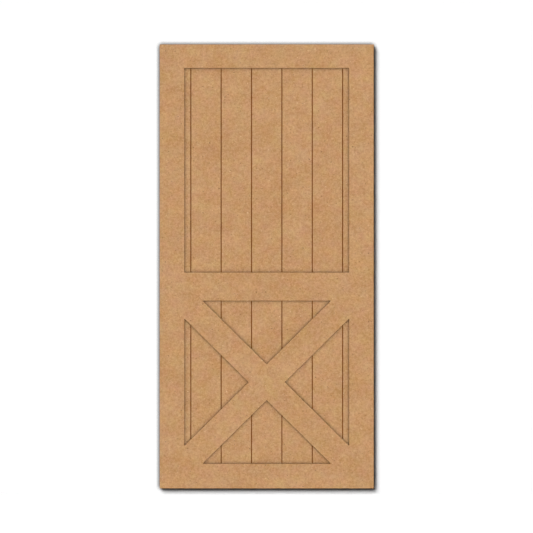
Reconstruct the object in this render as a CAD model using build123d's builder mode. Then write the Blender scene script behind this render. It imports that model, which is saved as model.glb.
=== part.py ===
from build123d import *
from math import atan2, cos, degrees, hypot, tan
import os

# A barn-door leaf routed from one board of MDF, with both faces alike.
# X runs across the leaf, Y through its thickness and Z up, and the front faces -Y.
# The origin is at the middle of the bottom edge. Sizes are in millimetres.

# The board
leaf_width = 1029.0
leaf_height = 2134.0
leaf_thickness = 35.0

# The frame and the X brace, which keep the board's full thickness
stile_width = 119.0
top_rail_height = 114.0
middle_rail_height = 136.0
bottom_rail_height = 119.0
brace_width = 123.0

# The panels, sunk below the frame
lower_panel_height = 783.0
recess_depth = 9.5
recess_corner_radius = 1.6

# The grooves that part a panel into planks
plank_pitch = 146.0
groove_width = 4.8
groove_depth = 4.0
groove_end_land = 0.3

# Eased edges
leaf_edge_radius = 1.5
frame_edge_chamfer = 0.8

# Panel sizes, and the heights of their centres
panel_width = leaf_width - 2 * stile_width
middle_rail_top = bottom_rail_height + lower_panel_height + middle_rail_height
upper_panel_height = leaf_height - top_rail_height - middle_rail_top
upper_panel_centre = middle_rail_top + upper_panel_height / 2
lower_panel_centre = bottom_rail_height + lower_panel_height / 2

# Each brace runs from corner to corner of the lower panel
brace_angle = atan2(lower_panel_height, panel_width)
brace_length = hypot(lower_panel_height, panel_width)

# How near the groove cutter's axis comes to a wall
groove_stop = groove_width / 2 + groove_end_land

# Planks are centred on the leaf, so the first groove lies half a plank from the middle
grooves_each_side = int((panel_width / 2 - groove_stop) / plank_pitch + 0.5)
groove_offsets = [(number + 0.5) * plank_pitch for number in range(grooves_each_side)]


def groove_runs(offset_x):
    """The runs of one groove, each as the lowest and highest place of the cutter's axis.

    A groove runs the whole height of the upper panel. In the lower panel the braces part
    it into a run above the X, one beside it and one below, where there is room for them.
    """
    brace_rise = offset_x * tan(brace_angle)
    brace_stop = (brace_width / 2 + groove_stop) / cos(brace_angle)
    upper_reach = upper_panel_height / 2 - groove_stop
    lower_reach = lower_panel_height / 2 - groove_stop
    beside_reach = brace_rise - brace_stop
    above_start = brace_rise + brace_stop
    runs = [
        (upper_panel_centre - upper_reach, upper_panel_centre + upper_reach),
        (lower_panel_centre + above_start, lower_panel_centre + lower_reach),
        (lower_panel_centre - beside_reach, lower_panel_centre + beside_reach),
        (lower_panel_centre - lower_reach, lower_panel_centre - above_start),
    ]
    return [(low, high) for low, high in runs if high > low]


# The leaf's two faces, each seen from outside
front_face = Plane.front.offset(leaf_thickness / 2)
back_face = Plane.back.offset(leaf_thickness / 2)

with BuildPart() as door_leaf:
    # The board, with every edge eased
    with BuildSketch(Plane.front):
        Rectangle(leaf_width, leaf_height, align=(Align.CENTER, Align.MIN))
    extrude(amount=leaf_thickness / 2, both=True)
    fillet(door_leaf.edges(), leaf_edge_radius)

    for face_plane in (front_face, back_face):
        # Panels: one above the middle rail, and four triangles round the X brace
        with BuildSketch(face_plane) as panels:
            with Locations((0, upper_panel_centre)):
                Rectangle(panel_width, upper_panel_height)
            with Locations((0, lower_panel_centre)):
                Rectangle(panel_width, lower_panel_height)
                for brace_turn in (brace_angle, -brace_angle):
                    Rectangle(brace_length, brace_width, degrees(brace_turn), mode=Mode.SUBTRACT)
            fillet(panels.vertices(), recess_corner_radius)
        extrude(amount=-recess_depth, mode=Mode.SUBTRACT)

        # The sharp edge that the cutter leaves round each panel is taken off
        outward = Axis(face_plane.origin, face_plane.z_dir)
        frame_face = door_leaf.faces().sort_by(outward)[-1]
        chamfer(frame_face.inner_wires().edges(), frame_edge_chamfer)

        # Grooves in the panel floors, with the round ends of their cutter
        with BuildSketch(face_plane.offset(-recess_depth)):
            for offset_x in groove_offsets:
                for low, high in groove_runs(offset_x):
                    middle = (low + high) / 2
                    with Locations((-offset_x, middle), (offset_x, middle)):
                        SlotCenterToCenter(high - low, groove_width, rotation=90)
        extrude(amount=-groove_depth, mode=Mode.SUBTRACT)

door_leaf.part.label = "door_leaf"

os.makedirs("parts", exist_ok=True)
export_step(door_leaf.part, "parts/door_leaf.step")
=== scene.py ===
"""A bare MDF barn-door leaf, hung just clear of a white wall and a white floor.

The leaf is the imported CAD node, and this script gives it its fibreboard surface. It also adds
the wall, the floor, the lamps and the camera. Lengths are in metres unless a name says mm.
"""

import logging
import math
from dataclasses import dataclass, field
from enum import Enum

import bmesh
import bpy
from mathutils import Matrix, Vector


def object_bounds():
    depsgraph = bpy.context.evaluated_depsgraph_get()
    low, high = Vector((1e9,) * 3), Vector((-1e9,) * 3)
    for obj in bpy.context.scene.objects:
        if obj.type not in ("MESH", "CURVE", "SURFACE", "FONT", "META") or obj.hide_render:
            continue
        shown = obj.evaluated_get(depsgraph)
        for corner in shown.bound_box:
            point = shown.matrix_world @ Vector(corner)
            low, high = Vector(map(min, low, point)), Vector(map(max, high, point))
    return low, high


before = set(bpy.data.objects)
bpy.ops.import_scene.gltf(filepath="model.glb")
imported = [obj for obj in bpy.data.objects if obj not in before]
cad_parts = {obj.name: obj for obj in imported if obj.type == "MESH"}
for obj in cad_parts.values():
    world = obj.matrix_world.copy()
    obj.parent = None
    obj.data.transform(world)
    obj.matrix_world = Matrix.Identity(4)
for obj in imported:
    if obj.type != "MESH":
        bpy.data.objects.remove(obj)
CAD_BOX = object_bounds()

LOG = logging.getLogger("barn_door_leaf")
MM = 0.001

# The sRGB curve is straight near black, and a power of the level above that
SRGB_STRAIGHT_END = 0.04045
SRGB_STRAIGHT_SLOPE = 12.92
SRGB_OFFSET = 0.055
SRGB_POWER = 2.4
TOP_LEVEL = 255

# Where a Mix node that is set to colours has its factor, its two colours and its result
MIX_SHARE, MIX_FIRST, MIX_SECOND, MIXED = 0, 6, 7, 2

Colour = tuple[float, float, float, float]
Triple = tuple[float, float, float]
Socket = bpy.types.NodeSocket
Tree = bpy.types.ShaderNodeTree


class Lit(Enum):
    """What a lamp lights."""

    LEAF = "leaf"
    WALL = "wall"
    FLOOR = "floor"


def linear(hex_colour: str) -> Colour:
    """Turns an sRGB hex colour into linear light.

    Args:
        hex_colour: a hash and six hex digits, such as "#C4976B".

    Returns:
        Linear red, green and blue, and an alpha of one.
    """
    levels = [int(hex_colour[start:start + 2], 16) / TOP_LEVEL for start in (1, 3, 5)]
    red, green, blue = (
        level / SRGB_STRAIGHT_SLOPE if level <= SRGB_STRAIGHT_END
        else ((level + SRGB_OFFSET) / (1 + SRGB_OFFSET)) ** SRGB_POWER
        for level in levels
    )
    return red, green, blue, 1.0


def add_node(
    tree: Tree, kind: str, inputs: dict[str | int, object] | None = None, **settings: object
) -> bpy.types.Node:
    """Adds one shader node with its settings and links.

    Args:
        tree: the node tree to add to.
        kind: the node's type, without its "ShaderNode" prefix.
        inputs: a value, or an output socket to link, for each input by name or place.
        **settings: the node's own properties.

    Returns:
        The new node.
    """
    node = tree.nodes.new("ShaderNode" + kind)
    for name, value in settings.items():
        setattr(node, name, value)
    for name, value in (inputs or {}).items():
        if isinstance(value, Socket):
            tree.links.new(value, node.inputs[name])
        else:
            node.inputs[name].default_value = value
    return node


def new_tree(owner: bpy.types.Material | bpy.types.World) -> Tree:
    """Gives a material or a world an empty node tree.

    Args:
        owner: the material or world.

    Returns:
        Its tree.
    """
    owner.use_nodes = True
    owner.node_tree.nodes.clear()
    return owner.node_tree


@dataclass(frozen=True)
class Mottle:
    """One layer of mottling: noise with cells of a real width, and its share of the whole.

    Octaves add finer noise to it, and gain says how strong each is beside the one before.
    """

    cell_mm: float
    share: float
    octaves: float = 0.0
    gain: float = 0.8


@dataclass(frozen=True)
class Fleck:
    """One kind of speck in the board: its colour, spacing, size and greatest strength."""

    colour: str
    gap_mm: float
    radius_mm: float
    share: float


@dataclass(frozen=True)
class RawFibreboard:
    """Raw MDF: wood fibre hot-pressed into a board, sanded flat, then routed and sawn.

    The sanded face is a warm matt tan. It is faintly clouded where the fibre holds more or
    less bark and resin, grained by bundles of fibre, and flecked with bark and sapwood.
    The fibre lies flat in the board, so a cut edge is streaked along the board. Routed
    walls are a little darker and duller, partly from the cut fibre and partly as painted
    shade. The grooves are darkened partly as scorch from the hot cutter and partly as
    painted shade. The arris round each panel and the corners at the foot of each wall are
    darkened as painted shade. A sawn edge shows the board's dense skins and its paler,
    fuzzier core.
    """

    # Fibre with more bark is deep, and with less is pale. Resin turns it from grey to
    # yellow, and heartwood from green to pink, each by very little.
    deep: str = "#B58557"
    pale: str = "#D1A77C"
    resin_tints: tuple[str, str] = ("#FBF9FF", "#FFFFEF")
    heartwood_tints: tuple[str, str] = ("#F9FFFF", "#FFF8FF")
    # Recess walls: the cut fibre's own colour, and painted shade in the recess
    routed_wall_tint_and_shade: str = "#E6DED4"
    # Arris round each panel: painted shade at the recess edge
    arris_painted_shade_tint: str = "#B3A99C"
    # Grooves: scorch from the cutter, and painted shade in the narrow groove
    groove_scorch_and_shade_tint: str = "#D8A55C"
    core_tint: str = "#FFFCF6"
    skin_tint: str = "#E6DCCD"

    # Wood fibre and resin, with pores that scatter what gloss the sanded face has
    ior: float = 1.5
    sanded_roughness: float = 0.68
    cut_roughness: float = 0.9

    # Clouds a hand wide, bundles a finger wide, and single fibres. Real fibres are a tenth
    # of a millimetre wide, and are drawn coarse so that they show in a close view.
    tone: tuple[Mottle, ...] = (
        Mottle(110.0, 1.0, 2.0), Mottle(14.0, 2.25, 2.0, 1.0), Mottle(1.5, 0.6, 1.0),
    )
    fibre: tuple[Mottle, ...] = (Mottle(2.5, 1.0, 2.0, 0.7),)

    # Fibre lies flat in the board, so each pattern is pressed thin through the thickness
    lie: Triple = (1.0, 3.3, 1.1)

    # Resin and heartwood lie in clouds of one kind, taken from places well apart
    clouds: tuple[Mottle, ...] = (Mottle(60.0, 2.0, 2.0, 0.6),)
    resin_shift: Triple = (3.1, 1.7, 0.4)
    heartwood_shift: Triple = (0.7, 2.3, 5.2)

    # Painted shade in the corners at the foot of each wall: how far it reaches and how fast
    # it deepens.
    painted_corner_reach_mm: float = 16.0
    painted_corner_darkening: float = 0.35

    # Specks of bark and of pale sapwood, a few of them strong and most of them faint. Real
    # ones are a millimetre or two wide, and are drawn coarser so that they show.
    flecks: tuple[Fleck, ...] = (
        Fleck("#54341A", 15.0, 3.1, 1.0), Fleck("#EDD3AE", 17.0, 3.2, 0.75),
    )
    fleck_core: float = 0.3
    fleck_rarity: float = 2.5

    # A speck is a splinter, so noise finer than its spacing tears its outline
    torn_cell_mm: float = 4.0
    torn_octaves: float = 1.0
    torn_reach_mm: float = 10.0

    # Fuzz raised by the cutter stands higher than what sanding leaves
    sanded_relief: float = 0.25
    cut_relief: float = 1.0
    fibre_height_mm: float = 0.12


@dataclass(frozen=True)
class MattWhite:
    """Matt white scenic paint, which fills the picture and takes the leaf's shadow.

    Near the leaf the paint's colour is darkened from all sides, a painted shadow which
    makes the fine dark line round it.
    """

    paint: str = "#FFFFFF"

    # What the deepest painted shadow still shows, how far it reaches and how fast it deepens
    glow: float = 0.02
    painted_shadow_reach_mm: float = 24.0
    painted_shadow_power: float = 3.6

    def surface(self, name: str) -> bpy.types.Material:
        """Makes a white that shows from its front only, so other views see past it.

        Args:
            name: the material's name.

        Returns:
            The material.
        """
        material = bpy.data.materials.new(name)
        tree = new_tree(material)
        # Painted shadow: the white is darkened where the leaf hides it
        open_air = add_node(
            tree, "AmbientOcclusion",
            {"Color": linear(self.paint), "Distance": self.painted_shadow_reach_mm * MM},
        )
        shaded = add_node(
            tree, "Gamma", {0: open_air.outputs["Color"], 1: self.painted_shadow_power}
        )
        chalk = add_node(tree, "BsdfDiffuse", {"Color": shaded.outputs[0]})
        seen = add_node(tree, "LightPath").outputs["Is Camera Ray"]
        lift = add_node(tree, "Math", {0: seen, 1: self.glow}, operation="MULTIPLY")
        glow = add_node(tree, "Emission", {"Strength": lift.outputs[0]})
        lit = add_node(tree, "AddShader", {0: chalk.outputs[0], 1: glow.outputs[0]})
        clear = add_node(tree, "BsdfTransparent")
        behind = add_node(tree, "NewGeometry").outputs["Backfacing"]
        sheet = add_node(
            tree, "MixShader", {0: behind, 1: lit.outputs[0], 2: clear.outputs[0]}
        )
        add_node(tree, "OutputMaterial", {"Surface": sheet.outputs[0]})
        return material


@dataclass(frozen=True)
class CutZones:
    """Masks for the surfaces of the leaf that differ from its sanded faces."""

    wall: Socket
    arris: Socket
    groove: Socket
    edge: Socket
    skin: Socket


@dataclass
class DoorLeaf:
    """The leaf: the CAD node, dressed as raw fibreboard.

    Its sizes tell where the surfaces that were cut begin and end.
    """

    node: str = "door_leaf"
    width_mm: float = 1029.0
    height_mm: float = 2134.0
    thickness_mm: float = 35.0
    recess_mm: float = 9.5
    arris_mm: float = 0.8
    skin_mm: float = 4.0

    # A mask keeps this far inside its surface, so that it never spills on the next, and
    # the leaf's own edges reach in as far as their easing
    step_mm: float = 0.1
    rim_mm: float = 1.6
    finish: RawFibreboard = field(default_factory=RawFibreboard)

    def build(self) -> list[bpy.types.Object]:
        """Dresses the CAD node.

        Returns:
            The leaf's object, in a list.
        """
        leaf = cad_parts[self.node]
        material = self.surface()
        for slot in leaf.material_slots:
            slot.material = material
        return [leaf]

    def surface(self) -> bpy.types.Material:
        """Makes the fibreboard material.

        Returns:
            A material that tells faces, cuts, grooves and edges apart by their place.
        """
        finish = self.finish
        material = bpy.data.materials.new("raw_mdf")
        tree = new_tree(material)
        place = add_node(tree, "TexCoord").outputs["Object"]
        lying = add_node(
            tree, "VectorMath", {0: place, 1: finish.lie}, operation="MULTIPLY"
        ).outputs[0]
        zones = self.zones(tree, place)
        colour = self.cut_colour(tree, self.board_colour(tree, lying), zones)
        cut = zones.edge
        for mask in (zones.wall, zones.arris, zones.groove):
            cut = add_node(tree, "Math", {0: cut, 1: mask}, operation="MAXIMUM").outputs[0]
        roughness = add_node(
            tree, "MapRange",
            {"Value": cut, "To Min": finish.sanded_roughness, "To Max": finish.cut_roughness},
        )
        relief = add_node(
            tree, "MapRange",
            {"Value": cut, "To Min": finish.sanded_relief, "To Max": finish.cut_relief},
        )
        fuzz = add_node(
            tree, "Bump",
            {
                "Strength": relief.outputs["Result"],
                "Distance": finish.fibre_height_mm * MM,
                "Height": self.mottling(tree, lying, finish.fibre),
            },
        )
        board = add_node(
            tree, "BsdfPrincipled",
            {
                "Base Color": colour,
                "Roughness": roughness.outputs["Result"],
                "IOR": finish.ior,
                "Normal": fuzz.outputs["Normal"],
            },
        )
        add_node(tree, "OutputMaterial", {"Surface": board.outputs["BSDF"]})
        return material

    def zones(self, tree: Tree, place: Socket) -> CutZones:
        """Finds the surfaces that differ from the sanded faces.

        Args:
            tree: the material's node tree.
            place: the point on the leaf.

        Returns:
            Masks for the panels' routed walls and arrises, the grooves, the leaf's own
            edges and, on those, the board's dense skins.
        """
        face = self.thickness_mm / 2
        panel = face - self.recess_mm
        middle = (0.0, 0.0, self.height_mm / 2 * MM)
        from_middle = add_node(tree, "VectorMath", {0: place, 1: middle}, operation="SUBTRACT")
        reach = add_node(tree, "VectorMath", {0: from_middle.outputs[0]}, operation="ABSOLUTE")
        across, depth, up = add_node(tree, "SeparateXYZ", {0: reach.outputs[0]}).outputs

        # A wall stands on the panel's floor, its arris joins it to the face, and a groove
        # lies below the floor
        shoulder = face - self.arris_mm
        bands = [
            add_node(
                tree, "Math",
                {0: depth, 1: (low + high) / 2 * MM, 2: ((high - low) / 2 - self.step_mm) * MM},
                operation="COMPARE",
            ).outputs[0]
            for low, high in ((panel, shoulder), (shoulder, face), (0.0, panel))
        ]
        sides = [
            add_node(
                tree, "Math", {0: away, 1: (size / 2 - self.rim_mm) * MM},
                operation="GREATER_THAN",
            ).outputs[0]
            for away, size in ((across, self.width_mm), (up, self.height_mm))
        ]
        edge = add_node(tree, "Math", {0: sides[0], 1: sides[1]}, operation="MAXIMUM")
        skin = add_node(
            tree, "MapRange",
            {
                "Value": depth,
                "From Min": (face - self.skin_mm) * MM,
                "From Max": face * MM,
            },
            interpolation_type="SMOOTHSTEP",
        )
        return CutZones(*bands, edge=edge.outputs[0], skin=skin.outputs["Result"])

    def mottling(self, tree: Tree, place: Socket, layers: tuple[Mottle, ...]) -> Socket:
        """Adds layers of noise up about one half.

        Args:
            tree: the material's node tree.
            place: the point on the leaf.
            layers: the layers.

        Returns:
            The sum.
        """
        total: Socket | float = 0.5 - sum(layer.share for layer in layers) / 2
        for layer in layers:
            noise = add_node(
                tree, "TexNoise",
                {
                    "Vector": place,
                    "Scale": 1 / (layer.cell_mm * MM),
                    "Detail": layer.octaves,
                    "Roughness": layer.gain,
                },
            )
            total = add_node(
                tree, "Math", {0: noise.outputs["Fac"], 1: layer.share, 2: total},
                operation="MULTIPLY_ADD",
            ).outputs[0]
        return total

    def specks(self, tree: Tree, place: Socket, fleck: Fleck) -> Socket:
        """Scatters one kind of ragged speck, a few of them strong and most of them faint.

        Args:
            tree: the material's node tree.
            place: the point on the leaf.
            fleck: the kind of speck.

        Returns:
            How much of its colour shows.
        """
        finish = self.finish
        radius = fleck.radius_mm / fleck.gap_mm
        tear = add_node(
            tree, "TexNoise",
            {
                "Vector": place,
                "Scale": 1 / (finish.torn_cell_mm * MM),
                "Detail": finish.torn_octaves,
            },
        )
        torn = add_node(
            tree, "VectorMath",
            {0: tear.outputs["Color"], 1: (finish.torn_reach_mm * MM,) * 3, 2: place},
            operation="MULTIPLY_ADD",
        )
        cells = add_node(
            tree, "TexVoronoi",
            {"Vector": torn.outputs[0], "Scale": 1 / (fleck.gap_mm * MM)},
        )
        speck = add_node(
            tree, "MapRange",
            {
                "Value": cells.outputs["Distance"],
                "From Min": radius * finish.fleck_core, "From Max": radius,
                "To Min": fleck.share, "To Max": 0.0,
            },
        )
        chance = add_node(tree, "SeparateColor", {0: cells.outputs["Color"]}).outputs[0]
        rare = add_node(
            tree, "Math", {0: chance, 1: finish.fleck_rarity}, operation="POWER"
        )
        return add_node(
            tree, "Math", {0: speck.outputs["Result"], 1: rare.outputs[0]},
            operation="MULTIPLY",
        ).outputs[0]

    def board_colour(self, tree: Tree, place: Socket) -> Socket:
        """Mixes the clouded, grained and flecked colour of the sanded board.

        Args:
            tree: the material's node tree.
            place: the point on the leaf.

        Returns:
            The colour.
        """
        finish = self.finish
        tone = self.mottling(tree, place, finish.tone)
        board = add_node(
            tree, "Mix",
            {
                MIX_SHARE: tone,
                MIX_FIRST: linear(finish.deep),
                MIX_SECOND: linear(finish.pale),
            },
            data_type="RGBA",
        ).outputs[MIXED]
        for shift, (low, high) in (
            (finish.resin_shift, finish.resin_tints),
            (finish.heartwood_shift, finish.heartwood_tints),
        ):
            aside = add_node(tree, "VectorMath", {0: place, 1: shift}, operation="ADD")
            cloud = self.mottling(tree, aside.outputs[0], finish.clouds)
            tint = add_node(
                tree, "Mix",
                {MIX_SHARE: cloud, MIX_FIRST: linear(low), MIX_SECOND: linear(high)},
                data_type="RGBA",
            ).outputs[MIXED]
            board = add_node(
                tree, "Mix", {MIX_SHARE: 1.0, MIX_FIRST: board, MIX_SECOND: tint},
                data_type="RGBA", blend_type="MULTIPLY",
            ).outputs[MIXED]
        for fleck in finish.flecks:
            board = add_node(
                tree, "Mix",
                {
                    MIX_SHARE: self.specks(tree, place, fleck),
                    MIX_FIRST: board,
                    MIX_SECOND: linear(fleck.colour),
                },
                data_type="RGBA",
            ).outputs[MIXED]
        return board

    def cut_colour(self, tree: Tree, board: Socket, zones: CutZones) -> Socket:
        """Tints the board where a cutter or saw has been, and paints shade into its hollows.

        Args:
            tree: the material's node tree.
            board: the colour of the sanded board.
            zones: the surfaces that were cut.

        Returns:
            The colour.
        """
        finish = self.finish
        routed = board
        # Painted shade: the recess walls (also the cut fibre's colour), the arris and the
        # grooves (also scorch)
        for mask, tint in (
            (zones.wall, finish.routed_wall_tint_and_shade),
            (zones.arris, finish.arris_painted_shade_tint),
            (zones.groove, finish.groove_scorch_and_shade_tint),
        ):
            routed = add_node(
                tree, "Mix", {MIX_SHARE: mask, MIX_FIRST: routed, MIX_SECOND: linear(tint)},
                data_type="RGBA", blend_type="MULTIPLY",
            ).outputs[MIXED]
        # Painted shade in the corners inside the leaf, darker nearer a wall
        routed = self.painted_corner_shade(tree, routed)
        through = add_node(
            tree, "Mix",
            {
                MIX_SHARE: zones.skin,
                MIX_FIRST: linear(finish.core_tint),
                MIX_SECOND: linear(finish.skin_tint),
            },
            data_type="RGBA",
        ).outputs[MIXED]
        sawn = add_node(
            tree, "Mix", {MIX_SHARE: 1.0, MIX_FIRST: board, MIX_SECOND: through},
            data_type="RGBA", blend_type="MULTIPLY",
        ).outputs[MIXED]
        return add_node(
            tree, "Mix", {MIX_SHARE: zones.edge, MIX_FIRST: routed, MIX_SECOND: sawn},
            data_type="RGBA",
        ).outputs[MIXED]

    def painted_corner_shade(self, tree: Tree, colour: Socket) -> Socket:
        """Paints shade into the corners that the cutter left inside the leaf.

        Args:
            tree: the material's node tree.
            colour: the colour of the open faces.

        Returns:
            The colour with its corners darkened.
        """
        finish = self.finish
        open_air = add_node(
            tree, "AmbientOcclusion", {"Distance": finish.painted_corner_reach_mm * MM}, only_local=True
        )
        kept = add_node(
            tree, "Math", {0: open_air.outputs["AO"], 1: finish.painted_corner_darkening}, operation="POWER"
        )
        return add_node(
            tree, "VectorMath", {0: colour, "Scale": kept.outputs[0]}, operation="SCALE"
        ).outputs[0]


@dataclass
class StudioSheet:
    """A white sheet of the studio, the wall or the floor: its middle, its facing and side."""

    name: str
    middle: Triple
    faces: Triple
    side: float
    finish: MattWhite = field(default_factory=MattWhite)

    def build(self) -> list[bpy.types.Object]:
        """Makes the sheet.

        It neither lights the leaf nor keeps the lamps behind it from lighting the leaf.

        Returns:
            The sheet's object, in a list.
        """
        mesh = bpy.data.meshes.new(self.name)
        grid = bmesh.new()
        bmesh.ops.create_grid(grid, x_segments=1, y_segments=1, size=self.side / 2)
        grid.to_mesh(mesh)
        grid.free()
        mesh.materials.append(self.finish.surface("matt_white_" + self.name))
        sheet = bpy.data.objects.new(self.name, mesh)
        sheet.location = self.middle
        sheet.rotation_euler = Vector(self.faces).to_track_quat("Z", "Y").to_euler()
        sheet.visible_diffuse = False
        sheet.visible_glossy = False
        sheet.visible_shadow = False
        bpy.context.scene.collection.objects.link(sheet)
        return [sheet]


@dataclass(frozen=True)
class SoftLight:
    """A wide, even light at a great distance.

    Its level is how bright it makes a white surface that faces it: 1 is white. Its light
    isn't bounced on, so every surface keeps the level that it is given.
    """

    name: str
    lights: Lit
    heads: Triple
    spread_degrees: float
    level: float
    in_reflections: bool = True

    def build(self, lit: bpy.types.Collection) -> bpy.types.Object:
        """Hangs the light.

        Args:
            lit: the objects that it lights.

        Returns:
            The lamp's object.
        """
        data = bpy.data.lights.new(self.name, "SUN")
        data.angle = math.radians(self.spread_degrees)
        data.energy = math.pi * self.level
        data.cycles.max_bounces = 0
        data.cycles.use_multiple_importance_sampling = False
        lamp = bpy.data.objects.new(self.name, data)
        lamp.rotation_euler = Vector(self.heads).to_track_quat("-Z", "Y").to_euler()
        lamp.visible_glossy = self.in_reflections
        bpy.context.scene.collection.objects.link(lamp)
        lamp.light_linking.receiver_collection = lit
        return lamp


@dataclass
class Studio:
    """The white room: a wall close behind the leaf, a floor below it, and soft light.

    The white that surrounds the room is what the leaf's faint gloss reflects, so the wide
    lights, which stand for it, stay out of reflections.
    """

    wall_gap: float = 0.012
    floor_gap: float = 0.03
    side: float = 6.0
    lights: tuple[SoftLight, ...] = (
        SoftLight("front_dome", Lit.LEAF, (0.0, 1.0, 0.0), 150.0, 1.0, False),
        SoftLight("back_dome", Lit.LEAF, (0.0, -1.0, 0.0), 180.0, 0.85, False),
        SoftLight("back_key", Lit.LEAF, (-0.5, -1.0, -0.6), 40.0, 0.15, False),
        SoftLight("wall_wash", Lit.WALL, (0.37, 1.0, -0.46), 32.0, 1.15),
        SoftLight("floor_wash", Lit.FLOOR, (0.0, 1.0, -0.45), 20.0, 2.1),
        SoftLight("floor_top", Lit.FLOOR, (0.0, 0.0, -1.0), 20.0, 0.18),
    )

    def build(self, leaf: list[bpy.types.Object]) -> list[bpy.types.Object]:
        """Builds the room round the leaf.

        Args:
            leaf: the leaf's objects.

        Returns:
            Every object made.
        """
        back = CAD_BOX[1].y + self.wall_gap
        wall = StudioSheet(
            "studio_wall", (0.0, back, self.side / 2 - self.floor_gap), (0.0, -1.0, 0.0),
            self.side,
        ).build()
        floor = StudioSheet(
            "studio_floor", (0.0, back - self.side / 2, -self.floor_gap), (0.0, 0.0, 1.0),
            self.side,
        ).build()
        made = wall + floor
        for part, objects in ((Lit.LEAF, leaf), (Lit.WALL, wall), (Lit.FLOOR, floor)):
            lit = bpy.data.collections.new("lit_" + part.value)
            for thing in objects:
                lit.objects.link(thing)
            made += [light.build(lit) for light in self.lights if light.lights is part]
        self.surround()
        return made

    def surround(self) -> None:
        """Makes everything round the room white, and leaves the lighting to the lamps."""
        world = bpy.data.worlds.new("white_surround")
        tree = new_tree(world)
        rays = add_node(tree, "LightPath").outputs
        shown = rays["Is Camera Ray"]
        for kind in ("Is Glossy Ray", "Is Transmission Ray"):
            shown = add_node(
                tree, "Math", {0: shown, 1: rays[kind]}, operation="MAXIMUM"
            ).outputs[0]
        white = add_node(
            tree, "Background", {"Color": linear("#FFFFFF"), "Strength": shown}
        )
        add_node(tree, "OutputWorld", {"Surface": white.outputs[0]})
        bpy.context.scene.world = world


@dataclass
class StudioCamera:
    """A long lens square to the leaf, which stands as it does in the photograph.

    It sees as far as its reach times the distance to the leaf.
    """

    lens_mm: float = 200.0
    sensor_mm: float = 36.0
    picture_px: float = 533.0
    leaf_left_px: float = 159.6
    leaf_right_px: float = 373.85
    leaf_top_px: float = 44.35
    leaf_bottom_px: float = 488.45
    reach: float = 3.0

    def build(self) -> bpy.types.Object:
        """Sets the camera up and makes it the scene's own.

        Returns:
            The camera's object.
        """
        low, high = CAD_BOX
        per_px = (high.z - low.z) / (self.leaf_bottom_px - self.leaf_top_px)
        shot = self.picture_px * per_px * self.lens_mm / self.sensor_mm
        middle = (low + high) / 2
        right = self.picture_px / 2 - (self.leaf_left_px + self.leaf_right_px) / 2
        down = self.picture_px / 2 - (self.leaf_top_px + self.leaf_bottom_px) / 2
        data = bpy.data.cameras.new("studio_camera")
        data.lens = self.lens_mm
        data.sensor_width = self.sensor_mm
        data.sensor_fit = "HORIZONTAL"
        data.clip_end = shot * self.reach
        camera = bpy.data.objects.new("studio_camera", data)
        camera.location = (
            middle.x + right * per_px, low.y - shot, middle.z - down * per_px,
        )
        camera.rotation_euler = (math.pi / 2, 0.0, 0.0)
        bpy.context.scene.collection.objects.link(camera)
        bpy.context.scene.camera = camera
        return camera


def main() -> None:
    """Dresses the leaf, builds the room round it and logs what was made."""
    logging.basicConfig(level=logging.INFO, format="%(name)s: %(message)s")
    scene = bpy.context.scene
    scene.view_settings.view_transform = "Standard"
    leaf = DoorLeaf().build()
    made = leaf + Studio().build(leaf) + [StudioCamera().build()]
    for thing in made:
        LOG.info("%s: %s", thing.name, thing.type.lower())


if __name__ == "__main__":
    main()
